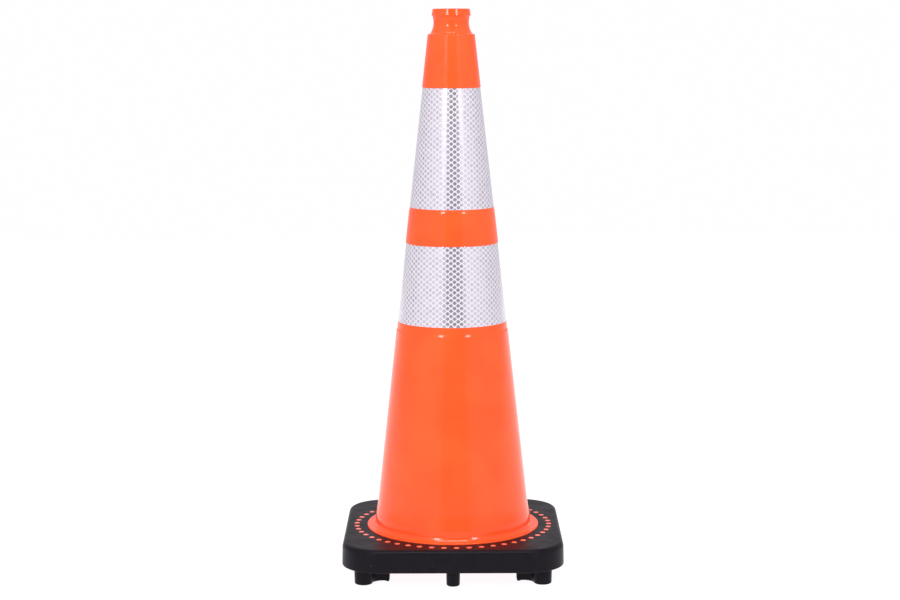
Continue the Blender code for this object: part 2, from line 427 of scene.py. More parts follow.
def ring_tree() -> Tree:
    """Builds the tree that sets copies of the given shape evenly round a circle.

    Returns:
        The tree.
    """
    sizes = {
        "Count": Kind.COUNT,
        "Ring radius": Kind.LENGTH,
        "First angle": Kind.LENGTH,
        "Height": Kind.LENGTH,
        "Material": Kind.MATERIAL,
    }
    tree, start = new_geometry_tree("Set in a ring", sizes)
    given = start.outputs
    size = {"Vertices": given["Count"], "Radius": given["Ring radius"]}
    ring = add_node(tree, "GeometryNodeMeshCircle", size)
    turn = add_node(tree, "ShaderNodeCombineXYZ", {"Z": given["First angle"]})
    rise = add_node(tree, "ShaderNodeCombineXYZ", {"Z": given["Height"]})
    place = {"Geometry": ring, "Translation": rise, "Rotation": turn}
    placed_ring = add_node(tree, "GeometryNodeTransform", place)
    pair = {"Points": placed_ring, "Instance": given["Geometry"]}
    copies = add_node(tree, "GeometryNodeInstanceOnPoints", pair)
    end_geometry_tree(tree, copies, given["Material"])
    return tree


# ----- Finishes -----


def linear(colour: str) -> tuple[float, float, float, float]:
    """Turns an sRGB hex colour to linear.

    Args:
        colour: The colour as "#RRGGBB".

    Returns:
        Linear red, green, blue and an alpha of 1.
    """
    parts = [int(colour[i : i + 2], 16) / 255 for i in (1, 3, 5)]
    red, green, blue = [p / 12.92 if p <= 0.04045 else ((p + 0.055) / 1.055) ** 2.4 for p in parts]
    return red, green, blue, 1.0


def new_material(name: str) -> tuple[Material, Tree]:
    """Starts a material with an empty tree.

    Args:
        name: The material's name.

    Returns:
        The material and its tree.
    """
    material = bpy.data.materials.new(name)
    material.use_nodes = True
    material.node_tree.nodes.clear()
    return material, material.node_tree


def blotches(place: Socket, size: float, detail: float = 2.0) -> dict[str, Any]:
    """Gives a noise's inputs for blotches of a size, with some detail in finer layers."""
    return {"Vector": place, "Scale": 1 / (size * MM), "Detail": detail}


@dataclass(frozen=True)
class GlossPvc:
    """Fluorescent orange flexible PVC, injection moulded in a polished tool.

    The tool gives it a bright gloss. The soft wall behind it leaves slow waves and a slight
    orange peel, and the pigment drifts a little in tone. The shell also glows weakly: this is a
    painted glow, an emission that lights it whatever the lamps do, standing in for the pigment's
    fluorescence, which turns part of the daylight's blue and green into orange. Drift, haze,
    peel and wave are the widths of their blotches.
    """

    name: str = "Fluorescent orange flexible PVC, gloss moulded"
    colour: str = "#FF5727"
    deeper: str = "#FA5021"
    glow_colour: str = "#FF5414"
    glow: float = 0.2
    roughness: Pair = (0.10, 0.16)
    specular: float = 0.30
    ior: float = 1.5
    drift: float = 60.0
    haze: float = 12.0
    peel: float = 1.6
    peel_depth: float = 0.004
    wave: float = 38.0
    wave_depth: float = 0.05

    def material(self) -> Material:
        """Builds the material.

        Returns:
            The material.
        """
        material, tree = new_material(self.name)
        node = partial(add_node, tree)
        place = node("ShaderNodeTexCoord").outputs["Object"]
        tones = node(NOISE, blotches(place, self.drift))
        drift = node(RANGE, {"Value": tones, **MIDDLE}, **SMOOTH)
        tint = {0: drift, 6: linear(self.colour), 7: linear(self.deeper)}
        low, high = self.roughness
        clouds = node(NOISE, blotches(place, self.haze, 3.0))
        span = {"Value": clouds, **MIDDLE, "To Min": low, "To Max": high}
        slow = node(NOISE, blotches(place, self.wave, 1.0))
        waves = node(BUMP, {"Height": slow, "Distance": self.wave_depth * MM})
        fine = node(NOISE, blotches(place, self.peel, 1.0))
        relief = {"Height": fine, "Distance": self.peel_depth * MM, "Normal": waves}
        shader = node(
            "ShaderNodeBsdfPrincipled",
            {
                "Base Color": node(MIX, tint, **COLOURS).outputs[2],
                "Roughness": node(RANGE, span, **SMOOTH),
                "Normal": node(BUMP, relief),
                "IOR": self.ior,
                "Specular IOR Level": self.specular,
                # Painted glow: this emission lights the shell whatever the lamps do, standing in
                # for the pigment's fluorescence.
                "Emission Color": linear(self.glow_colour),
                "Emission Strength": self.glow,
            },
        )
        node("ShaderNodeOutputMaterial", {"Surface": shader})
        return material


@dataclass(frozen=True)
class RecycledPvc:
    """Black recycled flexible PVC, moulded in a spark-eroded tool.

    The regrind gives a satin, faintly mottled black with a fine grain. Handling leaves pale
    scuffs along the outer edges. The tool's grain is a few tenths of a millimetre wide, and is
    drawn coarser so that it shows.
    """

    name: str = "Black recycled PVC, satin moulded"
    colour: str = "#141017"
    mottle_colour: str = "#17141A"
    scuff_colour: str = "#5A5556"
    roughness: Pair = (0.36, 0.44)
    specular: float = 0.10
    ior: float = 1.5
    mottle: float = 14.0
    grain: float = 0.9
    grain_depth: float = 0.010
    dimple: float = 26.0
    dimple_depth: float = 0.05
    edge: float = 139.4
    scuff_band: float = 12.0
    scuff_size: float = 7.0
    scuff_stretch: float = 2.6
    scuff_span: Pair = (0.70, 0.76)
    scuff_strength: float = 0.5

    def material(self) -> Material:
        """Builds the material.

        Returns:
            The material.
        """
        material, tree = new_material(self.name)
        node = partial(add_node, tree)
        place = node("ShaderNodeTexCoord").outputs["Object"]
        clouds = node(NOISE, blotches(place, self.mottle, 4.0))
        mottle = node(RANGE, {"Value": clouds, **MIDDLE}, **SMOOTH)
        blacks = {0: mottle, 6: linear(self.colour), 7: linear(self.mottle_colour)}
        black = node(MIX, blacks, **COLOURS).outputs[2]
        worn = {0: self.scuffs(tree, place), 6: black, 7: linear(self.scuff_colour)}
        low, high = self.roughness
        slow = node(NOISE, blotches(place, self.dimple))
        dimples = node(BUMP, {"Height": slow, "Distance": self.dimple_depth * MM})
        fine = node(NOISE, blotches(place, self.grain))
        relief = {"Height": fine, "Distance": self.grain_depth * MM, "Normal": dimples}
        shader = node(
            "ShaderNodeBsdfPrincipled",
            {
                "Base Color": node(MIX, worn, **COLOURS).outputs[2],
                "Roughness": node(RANGE, {"Value": mottle, "To Min": low, "To Max": high}),
                "Normal": node(BUMP, relief),
                "IOR": self.ior,
                "Specular IOR Level": self.specular,
            },
        )
        node("ShaderNodeOutputMaterial", {"Surface": shader})
        return material

    def scuffs(self, tree: Tree, place: Socket) -> Node:
        """Adds short scuffs that keep to a band along the base's outer edges.

        Args:
            tree: The material's tree.
            place: Object coordinates.

        Returns:
            The node that says how much of the scuffs' colour shows.
        """
        node = partial(add_node, tree)
        across, along, up = node("ShaderNodeSeparateXYZ", {0: place}).outputs
        ways = [node(MATH, {0: way}, operation="ABSOLUTE") for way in (across, along)]
        side = node(MATH, {0: ways[0], 1: ways[1]}, operation="MAXIMUM")
        inner, outer = (self.edge - self.scuff_band) * MM, self.edge * MM
        band = node(RANGE, {"Value": side, "From Min": inner, "From Max": outer}, **SMOOTH)
        squeezed = node(MATH, {0: up, 1: self.scuff_stretch}, operation="MULTIPLY")
        drag = node("ShaderNodeCombineXYZ", {0: across, 1: along, 2: squeezed}).outputs[0]
        marks = node(NOISE, blotches(drag, self.scuff_size, 5.0))
        low, high = self.scuff_span
        rare = {"Value": marks, "From Min": low, "From Max": high, "To Max": self.scuff_strength}
        return node(MATH, {0: band, 1: node(RANGE, rare, **SMOOTH)}, operation="MULTIPLY")


@dataclass(frozen=True)
class PrismaticSheeting:
    """White metallised microprismatic sheeting under a clear film.

    The prisms lie in small cells that mirror what is round them softly. The film is welded to
    the backing along a net of white seals that cross between the cells. The prisms themselves are
    far too fine to show, and are in the cells' roughness.
    """

    name: str = "White metallised prismatic sheeting"
    cell_colour: str = "#E3E0E8"
    dim_cell_colour: str = "#D5D2DB"
    seal_colour: str = "#DAD5DE"
    scuff_colour: str = "#8F8C98"
    pitch_across: float = 9.0
    pitch_up: float = 6.6
    cell_fill: float = 0.80
    cell_edge: float = 0.06
    cell_width: float = 5.4
    squareness: float = 5.0
    metallic: float = 0.92
    cell_roughness: float = 0.20
    seal_roughness: float = 0.38
    coat: float = 0.6
    coat_roughness: float = 0.12
    scuff_size: float = 16.0
    scuff_span: Pair = (0.66, 0.74)
    scuff_strength: float = 0.45
    ripple: float = 22.0
    ripple_depth: float = 0.05

    def material(self) -> Material:
        """Builds the material, which reads the flat sheet's own coordinates from the UV map.

        Returns:
            The material.
        """
        material, tree = new_material(self.name)
        node = partial(add_node, tree)
        sheet = node("ShaderNodeUVMap", uv_map=Collar.sheet_map).outputs[0]
        place = node("ShaderNodeTexCoord").outputs["Object"]
        cell, tone = self.cells(tree, sheet)
        silvers = {0: tone, 6: linear(self.dim_cell_colour), 7: linear(self.cell_colour)}
        silver = node(MIX, silvers, **COLOURS).outputs[2]
        net = {0: cell, 6: linear(self.seal_colour), 7: silver}
        smudges = node(NOISE, blotches(place, self.scuff_size, 5.0))
        low, high = self.scuff_span
        rare = {"Value": smudges, "From Min": low, "From Max": high, "To Max": self.scuff_strength}
        scuffs = node(RANGE, rare, **SMOOTH)
        clean = node(MIX, net, **COLOURS).outputs[2]
        worn = {0: scuffs, 6: clean, 7: linear(self.scuff_colour)}
        bright = node(MATH, {0: 1.0, 1: scuffs}, operation="SUBTRACT")
        metal = node(MATH, {0: cell, 1: self.metallic}, operation="MULTIPLY")
        haze = {"Value": cell, "To Min": self.seal_roughness, "To Max": self.cell_roughness}
        slow = node(NOISE, blotches(place, self.ripple, 1.0))
        shader = node(
            "ShaderNodeBsdfPrincipled",
            {
                "Base Color": node(MIX, worn, **COLOURS).outputs[2],
                "Metallic": node(MATH, {0: metal, 1: bright}, operation="MULTIPLY"),
                "Roughness": node(RANGE, haze),
                "Normal": node(BUMP, {"Height": slow, "Distance": self.ripple_depth * MM}),
                "Coat Weight": self.coat,
                "Coat Roughness": self.coat_roughness,
            },
        )
        node("ShaderNodeOutputMaterial", {"Surface": shader})
        return material

    def cells(self, tree: Tree, sheet: Socket) -> tuple[Node, Node]:
        """Adds the net of cells, in rows that are staggered by half a pitch.

        Args:
            tree: The material's tree.
            sheet: The flat sheet's coordinates in metres.

        Returns:
            The node that is 1 inside a cell and 0 on a seal, and the node that gives each cell
            a tone from 0 to 1.
        """
        node = partial(add_node, tree)
        x, y, _ = node("ShaderNodeSeparateXYZ", {0: sheet}).outputs
        across = node(MATH, {0: x, 1: self.pitch_across * MM}, operation="DIVIDE")
        up = node(MATH, {0: y, 1: self.pitch_up * MM}, operation="DIVIDE")
        rows = [node(MATH, {0: across, 1: up}, operation=way) for way in ("ADD", "SUBTRACT")]
        parts = [node(MATH, {0: row}, operation="FRACT") for row in rows]
        offsets = [node(MATH, {0: part, 1: 0.5}, operation="SUBTRACT") for part in parts]
        blunt = self.cell_fill * self.pitch_across / self.cell_width
        both = node(MATH, dict(enumerate(offsets)), operation="ADD")
        total: float | Node = 0.0
        for offset, scale in ((offsets[0], 2.0), (offsets[1], 2.0), (both, blunt)):
            size = node(MATH, {0: offset}, operation="ABSOLUTE")
            width = node(MATH, {0: size, 1: scale}, operation="MULTIPLY")
            reach = node(MATH, {0: width, 1: self.squareness}, operation="POWER")
            total = node(MATH, {0: total, 1: reach}, operation="ADD")
        out = node(MATH, {0: total, 1: 1 / self.squareness}, operation="POWER")
        inner, outer = self.cell_fill - self.cell_edge, self.cell_fill + self.cell_edge
        edge = {"Value": out, "From Min": inner, "From Max": outer, "To Min": 1.0, "To Max": 0.0}
        numbers = [node(MATH, {0: row}, operation="FLOOR") for row in rows]
        index = node("ShaderNodeCombineXYZ", dict(enumerate(numbers)))
        return node(RANGE, edge, **SMOOTH), node("ShaderNodeTexWhiteNoise", {"Vector": index})


@dataclass(frozen=True)
class WhiteAcrylic:
    """Opal acrylic sheet lit from below, as on a light table."""

    name: str = "Opal acrylic, lit from below"
    colour: str = "#7C7A7D"
    glow_colour: str = "#FFFDFF"
    glow: float = 0.95
    roughness: float = 0.9
    specular: float = 0.1

    def material(self) -> Material:
        """Builds the material.

        Returns:
            The material.
        """
        material, tree = new_material(self.name)
        node = partial(add_node, tree)
        shader = node(
            "ShaderNodeBsdfPrincipled",
            {
                "Base Color": linear(self.colour),
                "Roughness": self.roughness,
                "Specular IOR Level": self.specular,
                "Emission Color": linear(self.glow_colour),
                "Emission Strength": self.glow,
            },
        )
        node("ShaderNodeOutputMaterial", {"Surface": shader})
        return material


# ----- The cone's pieces -----


@dataclass(frozen=True)
class Taper:
    """The straight side that the shell and its collars share."""

    ground_radius: float = 105.7
    slope: float = 0.1117

    def radius(self, z: float) -> float:
        """Gives the shell's outer radius at a height."""
        return self.ground_radius - self.slope * z

    def slant(self, z: float) -> float:
        """Gives the distance along the side from the cone's point down to a height."""
        return self.radius(z) / sin(atan(self.slope))

    def unrolled(self, angle: float) -> float:
        """Gives the angle that a turn about the axis takes up in the flat sheet."""
        return angle * sin(atan(self.slope))


@dataclass(frozen=True)
class Lip:
    """The soft lip under a collar's seat, where the shell comes back out to its taper.

    The shell is set back by `step` above it. `drop` is from the seat's bottom edge down to the
    middle of the lip's slope, and `half` is half the slope's height.
    """

    drop: float
    step: float
    top_round: float
    foot_round: float = 4.0
    half: float = 1.6


@dataclass
class ConeShell:
    """The orange shell: rim, neck, shoulder, taper with two seats, flare, ledge and flange.

    `foot_steps` are the corners where the taper meets the ledge. Each is a radius, its rise over
    the ledge and its rounding.
    """

    taper: Taper
    height: float
    seats: Sequence[Pair]
    segments: int = 256
    wall: float = 3.6
    rim_radius: float = 23.4
    rim_spread: float = 1.4
    rim_depth: float = 8.6
    rim_rounds: Pair = (1.0, 0.9)
    bore: float = 19.4
    neck_radius: float = 22.4
    neck_below: float = 17.0
    neck_curve: float = 25.0
    neck_turns: Pair = (-0.305, 0.408)
    neck_steps: int = 14
    shoulder_z: float = 679.6
    shoulder_tread: float = 2.0
    shoulder_fall: float = 0.55
    shoulder_rounds: Pair = (3.0, 1.4)
    seat_depth: float = 1.5
    seat_rounds: tuple[float, float, float, float] = (0.6, 0.25, 0.2, 0.5)
    lips: tuple[Lip, Lip] = (Lip(2.6, 0.50, 0.0), Lip(10.0, 0.62, 3.0))
    flare_start: float = 78.0
    flare_waist: Point = (100.1, 63.0)
    flare_rounds: Pair = (60.0, 40.0)
    foot_steps: tuple[tuple[float, float, float], ...] = (
        (100.7, 4.2, 2.5),
        (101.75, 1.7, 1.5),
        (103.2, 0.0, 2.0),
    )
    ledge_radius: float = 111.0
    ledge_z: float = 50.1
    ledge_round: float = 1.1
    flange_radius: float = 131.0
    flange_z: float = 43.6
    flange_thickness: float = 4.0
    flange_round: float = 0.4
    joggle_radius: float = 106.5
    mouth_round: float = 0.8
    throat_spread: float = 2.6
    throat_depth: float = 24.0
    inner_rounds: tuple[float, float, float] = (2.5, 2.0, 4.0)

    def head(self) -> list[Corner]:
        """Lists the corners from the bore's top edge out and down to the shoulder's edge.

        Returns:
            The corners.
        """
        rim_foot = self.height - self.rim_depth
        centre = (self.neck_radius + self.neck_curve, self.height - self.neck_below)
        start, end = self.neck_turns
        waist = arc(centre, self.neck_curve, pi + start, pi + end, self.neck_steps)
        top_round, foot_round = self.rim_rounds
        tread_x = waist[-1][0] + self.shoulder_tread
        inner_round, outer_round = self.shoulder_rounds
        return [
            Corner(self.bore, self.height, top_round),
            Corner(self.rim_radius, self.height, top_round),
            Corner(self.rim_radius + self.rim_spread, rim_foot, foot_round),
            *(Corner(x, y) for x, y in waist),
            Corner(tread_x, self.shoulder_z + self.shoulder_fall, inner_round),
            Corner(self.taper.radius(self.shoulder_z), self.shoulder_z, outer_round),
        ]

    def seat(self, top: float, bottom: float, lip: Lip) -> list[Corner]:
        """Lists the corners of one collar's seat and of the lip below it.

        Args:
            top: The seat's top edge.
            bottom: Its bottom edge.
            lip: The lip.

        Returns:
            The corners, downwards.
        """
        lip_top, lip_foot = bottom - lip.drop + lip.half, bottom - lip.drop - lip.half
        places = (
            (top, 0.0),
            (top, self.seat_depth),
            (bottom, self.seat_depth),
            (bottom, lip.step),
            (lip_top, lip.step),
            (lip_foot, 0.0),
        )
        rounds = (*self.seat_rounds, lip.top_round, lip.foot_round)
        return [Corner(self.taper.radius(z) - back, z, r) for (z, back), r in zip(places, rounds)]

    def foot(self) -> list[Corner]:
        """Lists the corners down the flare, over the ledge and round the flange.

        Returns:
            The corners.
        """
        under = self.flange_z - self.flange_thickness
        step = self.ledge_z - self.flange_thickness
        start_round, waist_round = self.flare_rounds
        flange = (
            (self.ledge_radius, self.flange_z),
            (self.flange_radius, self.flange_z),
            (self.flange_radius, under),
            (self.joggle_radius, under),
            (self.joggle_radius, step),
        )
        return [
            Corner(self.taper.radius(self.flare_start), self.flare_start, start_round),
            Corner(*self.flare_waist, waist_round),
            *(Corner(r, self.ledge_z + rise, bend) for r, rise, bend in self.foot_steps),
            Corner(self.ledge_radius, self.ledge_z, self.ledge_round),
            *(Corner(r, z, self.flange_round) for r, z in flange),
            Corner(self.taper.radius(step) - self.wall, step, self.mouth_round),
        ]

    def inside(self) -> list[Corner]:
        """Lists the corners up the inside to the bore.

        Returns:
            The corners.
        """
        top = self.shoulder_z - 2 * self.wall
        places = (
            (self.taper.radius(top) - self.wall, top),
            (self.bore + self.throat_spread, self.shoulder_z - self.wall / 2),
            (self.bore, self.height - self.throat_depth),
        )
        return [Corner(*place, r) for place, r in zip(places, self.inner_rounds)]

    def build(self, material: Material) -> Object:
        """Turns the section into the shell.

        Args:
            material: The shell's material.

        Returns:
            The shell.
        """
        corners = self.head()
        for (top, bottom), lip in zip(self.seats, self.lips):
            corners += self.seat(top, bottom, lip)
        section = rounded([*corners, *self.foot(), *self.inside()])
        guide = self.ledge_radius
        mesh = bpy.data.meshes.new("shell section")
        points = [((r - guide) * MM, -z * MM, 0) for r, z in section]
        edges = [(i, (i + 1) % len(points)) for i in range(len(points))]
        mesh.from_pydata(points, edges, [])
        shell = new_object("cone_shell", mesh)
        values = {"Segments": self.segments, "Guide radius": guide * MM, "Material": material}
        run_tree(shell, turning_tree(), values)
        return placed(shaded(shell), "cone_body", material)


@dataclass
class StudRing:
    """The ring of short round studs that come up through the base's top from the flange."""

    count: int = 50
    ring_radius: float = 124.6
    first_angle: float = radians(-1.55)
    radius: float = 3.5
    root: float = 41.0
    top: float = 48.5
    edge: float = 0.35
    sides: int = 20
    crease: float = radians(20)

    def build(self, material: Material) -> Object:
        """Builds one stud with a rounded edge and sets copies of it in the ring.

        Args:
            material: The studs' material.

        Returns:
            The studs as one piece.
        """
        outline = circle((0, 0), self.radius, self.sides)
        tall = self.top - self.root
        third = self.edge / 3
        levels = ((0, 0), (0, tall - self.edge), (third, tall - third), (self.edge, tall))
        bm = bmesh.new()
        add_loft(bm, [(inset(outline, by), z) for by, z in levels])
        studs = object_from_bmesh("stud_ring", bm)
        values = {
            "Count": self.count,
            "Ring radius": self.ring_radius * MM,
            "First angle": self.first_angle,
            "Height": self.root * MM,
            "Material": material,
        }
        run_tree(studs, ring_tree(), values)
        return placed(shaded(studs, self.crease), "cone_body", material)


@dataclass
class MouldedBase:
    """The black base: a rounded square slab on eight feet, moulded over the shell's flange.

    `bore` is the nesting hole's radius at its top and foot. `side_foot` and `pad` are a foot's
    distance from the axis and its radius. `crossbar` is the bar's inner and outer distance.
    """

    half: float
    shell: ConeShell
    studs: StudRing
    top_z: float = 48.3
    under_z: float = 19.6
    corner: float = 50.0
    top_round: float = 6.0
    under_round: float = 1.4
    draft: float = 0.6
    clearance: float = 0.3
    bore: Pair = (98.6, 101.6)
    side_foot: Pair = (122.2, 8.3)
    pad: Pair = (158.0, 11.3)
    neck_round: float = 12.8
    crossbar: Pair = (122.5, 131.0)
    crossbar_reach: float = 79.5
    foot_round: float = 2.0
    foot_draft: float = 0.5
    bury: float = 3.0
    mouth_flare: float = 0.3
    stud_gap: float = 0.1
    sliver: float = 0.01
    corner_steps: int = 20
    foot_steps: tuple[int, int, int] = (14, 12, 4)
    foot_edge_steps: int = 6
    side_foot_sides: int = 40
    bore_sides: int = 192

    def square(self, half: float, corner: float) -> list[Point]:
        """Lists a square outline with round corners.

        Args:
            half: Half its width.
            corner: Its corners' radius.

        Returns:
            The outline, anticlockwise.
        """
        points: list[Point] = []
        for quarter in range(4):
            middle = radians(45 + 90 * quarter)
            reach = (half - corner) * sqrt(2)
            centre = (reach * cos(middle), reach * sin(middle))
            points += arc(centre, corner, middle - pi / 4, middle + pi / 4, self.corner_steps)
        return points

    def slab(self) -> Object:
        """Builds the slab.

        Returns:
            The slab, not yet cut.
        """
        far = -self.half / 3
        side = [
            Corner(far, self.under_z),
            Corner(0, self.under_z, self.under_round),
            Corner(-self.draft, self.top_z, self.top_round),
            Corner(far, self.top_z),
        ]
        bm = bmesh.new()
        levels = rounded(side)[1:-1]
        add_loft(bm, [(self.square(self.half + x, self.corner + x), z) for x, z in levels])
        return object_from_bmesh("base_slab", bm)

    def corner_foot(self) -> list[Point]:
        """Lists a corner foot's plan on the +X axis: a round pad that necks down to a crossbar.

        Returns:
            The outline, anticlockwise.
        """
        pad_x, pad_r = self.pad
        inner, outer = self.crossbar
        from_axis = outer + self.neck_round
        from_pad = pad_r + self.neck_round
        neck_x = (pad_x**2 + from_axis**2 - from_pad**2) / (2 * pad_x)
        neck_y = sqrt(from_axis**2 - neck_x**2)
        pad_end = atan2(neck_y, neck_x - pad_x)
        bar_end = atan2(neck_y, neck_x)
        inner_end = pi / 4 - asin(self.crossbar_reach / inner)
        pad_steps, neck_steps, bar_steps = self.foot_steps
        half = [
            *arc((pad_x, 0), pad_r, 0, pad_end, pad_steps),
            *arc((neck_x, neck_y), self.neck_round, pad_end + pi, bar_end + pi, neck_steps)[1:],
            *arc((0, 0), inner, inner_end, 0, bar_steps),
        ]
        return half + [(x, -y) for x, y in reversed(half[1:-1])]

    def feet(self) -> Object:
        """Builds the eight feet, each reaching up into the slab.

        Returns:
            The feet as one helper.
        """
        middle = (self.foot_round, self.foot_round)
        round_edge = arc(middle, self.foot_round, 3 * pi / 2, pi, self.foot_edge_steps)
        edge = [*round_edge, (-self.foot_draft, self.under_z + self.bury)]
        foot_x, foot_r = self.side_foot
        side_foot = circle((foot_x, 0), foot_r, self.side_foot_sides)
        bm = bmesh.new()
        for i in range(4):
            turn = i * pi / 2
            side = turned_round(side_foot, turn)
            for outline in (side, turned_round(self.corner_foot(), turn + pi / 4)):
                add_loft(bm, [(inset(outline, by), z) for by, z in edge])
        return object_from_bmesh("base_feet", bm)

    def flange_room(self) -> Object:
        """Builds the room that the flange and the nesting hole need.

        Returns:
            The helper to cut with.
        """
        shell, gap, sliver = self.shell, self.clearance, self.sliver
        under = shell.flange_z - shell.flange_thickness
        step = shell.ledge_z - shell.flange_thickness
        top_bore, foot_bore = self.bore
        levels = [
            (foot_bore + self.mouth_flare, self.under_z - self.bury),
            (foot_bore, self.under_z),
            (top_bore, step - gap),
            (shell.joggle_radius - gap, step - gap + sliver),
            (shell.joggle_radius - gap, under - gap),
            (shell.flange_radius + gap, under - gap + sliver),
            (shell.flange_radius + gap, shell.flange_z + gap),
            (shell.ledge_radius + gap, shell.flange_z + gap + sliver),
            (shell.ledge_radius + gap, self.top_z + self.bury),
        ]
        bm = bmesh.new()
        add_loft(bm, [(circle((0, 0), r, self.bore_sides), z) for r, z in levels])
        return object_from_bmesh("flange_room", bm)

    def stud_holes(self) -> Object:
        """Builds the holes that the studs stand in.

        Returns:
            The helper to cut with.
        """
        studs = self.studs
        floor = self.shell.flange_z - 2 * self.stud_gap
        bm = bmesh.new()
        for i in range(studs.count):
            turn = studs.first_angle + tau * i / studs.count
            centre = (studs.ring_radius * cos(turn), studs.ring_radius * sin(turn))
            outline = circle(centre, studs.radius + self.stud_gap, studs.sides)
            add_loft(bm, [(outline, floor), (outline, self.top_z + self.bury)])
        return object_from_bmesh("stud_holes", bm)

    def build(self, material: Material) -> Object:
        """Joins the feet to the slab and cuts the flange's room and the studs' holes.

        Args:
            material: The base's material.

        Returns:
            The base.
        """
        base = self.slab()
        base.name = "moulded_base"
        combine(base, self.feet(), Cut.JOIN)
        combine(base, self.flange_room(), Cut.REMOVE)
        combine(base, self.stud_holes(), Cut.REMOVE)
        return placed(shaded(base), "base", material)


@dataclass
class Collar:
    """A strip cut from a flat sheet and wrapped round its seat, with its lap at the back."""

    node: str
    taper: Taper
    top: float
    bottom: float
    seat_depth: float = 1.5
    gap: float = 0.3
    sheet: float = 0.45
    edge_round: float = 0.15
    edge_middle: float = 0.3
    lap_width: float = 12.0
    lap_ramp: float = 3.0
    lap_step: float = 0.3
    lap_segments: int = 8
    segments: int = 240
    rows: int = 12
    offset: Point = (0.0, 0.0)

    sheet_map = "sheet"

    def lift(self, along: float) -> float:
        """Gives how far the sheet stands out over its lapped end.

        Args:
            along: The distance along the back from where the lap starts.

        Returns:
            The lift.
        """
        if along > self.lap_width + self.lap_step or along < -self.lap_ramp:
            return 0.0
        if along > self.lap_width:
            return self.sheet * (self.lap_width + self.lap_step - along) / self.lap_step
        return self.sheet * min(1.0, (along + self.lap_ramp) / self.lap_ramp)

    def angles(self) -> list[float]:
        """Lists the angles from the lap's start round to it again, finer across the lap.

        Returns:
            The angles, from just after the sheet's cut edge.
        """
        middle = self.taper.radius((self.top + self.bottom) / 2)
        lap_end = (self.lap_width + self.lap_step) / middle
        lap = self.lap_width / middle / self.lap_segments
        turn = (tau - self.lap_ramp / middle - lap_end) / self.segments
        rest = [lap_end + turn * i for i in range(self.segments + 1)]
        return [*rest, *(tau + lap * i for i in range(self.lap_segments + 1))]

    def section(self) -> list[Pair]:
        """Lists the sheet's section as (height, distance out from its back).

        Returns:
            The section: down the outer face with rounded edges, then the back's two corners.
        """
        r = self.edge_round
        part = self.edge_middle * r
        row = (self.top - self.bottom - 2 * r) / self.rows
        face = [self.top - r - row * i for i in range(self.rows + 1)]
        face = [face[0], face[0] - r, *face[1:-1], face[-1] + r, face[-1]]
        upper = [(self.top, self.sheet - r), (self.top - part, self.sheet - part)]
        lower = [(self.bottom + part, self.sheet - part), (self.bottom, self.sheet - r)]
        outer = [(z, self.sheet) for z in face]
        return [(self.top, 0.0), *upper, *outer, *lower, (self.bottom, 0.0)]

    def flat(self, angle: float, z: float) -> Point:
        """Gives a point's place in the flat sheet, in metres, square to the cone's front.

        Args:
            angle: The angle about the axis from the back.
            z: The height.

        Returns:
            The place across and up the sheet.
        """
        turn = self.taper.unrolled(angle - pi)
        slant = self.taper.slant(z)
        across = slant * sin(turn) + self.offset[0]
        up = self.taper.slant(self.bottom) - slant * cos(turn) + self.offset[1]
        return across * MM, up * MM

    def build(self, material: Material) -> Object:
        """Wraps the strip and gives it the flat sheet's coordinates as its UV map.

        Args:
            material: The sheeting.

        Returns:
            The collar.
        """
        angles, section = self.angles(), self.section()
        middle = self.taper.radius((self.top + self.bottom) / 2)
        bm = bmesh.new()
        layer = bm.loops.layers.uv.new(self.sheet_map)
        stations = []
        for angle in angles:
            back = angle if angle < pi else angle - tau
            lift = self.lift(back * middle)
            x, y = cos(pi / 2 + angle) * MM, sin(pi / 2 + angle) * MM
            ring = []
            for z, out in section:
                back_r = self.taper.radius(z) - self.seat_depth + self.gap
                r = back_r + (out + lift if out else 0.0)
                ring.append(bm.verts.new((r * x, r * y, z * MM)))
            stations.append(ring)
        ends = [*angles[1:], angles[-1] + self.lap_step / middle]
        for i, here in enumerate(stations):
            after = stations[(i + 1) % len(stations)]
            turns = (angles[i], ends[i])
            for j in range(len(section)):
                k = (j + 1) % len(section)
                face = bm.faces.new((here[j], here[k], after[k], after[j]))
                places = [(turns[0], j), (turns[0], k), (turns[1], k), (turns[1], j)]
                for loop, (turn, level) in zip(face.loops, places):
                    loop[layer].uv = self.flat(turn, section[level][0])
        collar = object_from_bmesh(f"{self.node}_sheet", bm)
        return placed(shaded(collar), self.node, material)


# ----- The studio -----


@dataclass(frozen=True)
class Softbox:
    """A square or oblong light that faces a point on the cone's axis. Its sizes are in metres."""

    name: str
    azimuth: float
    elevation: float
    width: float
    height: float
    watts: float
    distance: float = 3.2
    aim: float = 0.35

    def build(self) -> None:
        """Builds the light. Its azimuth runs from the front towards the right."""
        data = bpy.data.lights.new(self.name, "AREA")
        data.shape = "RECTANGLE"
        data.size = self.width
        data.size_y = self.height
        data.energy = self.watts
        lamp = new_object(self.name, data)
        level = self.distance * cos(self.elevation)
        offset = Vector((level * sin(self.azimuth), -level * cos(self.azimuth), 0))
        offset.z = self.distance * sin(self.elevation)
        lamp.location = Vector((0, 0, self.aim)) + offset
        lamp.rotation_euler = (-offset).to_track_quat("-Z", "Y").to_euler()


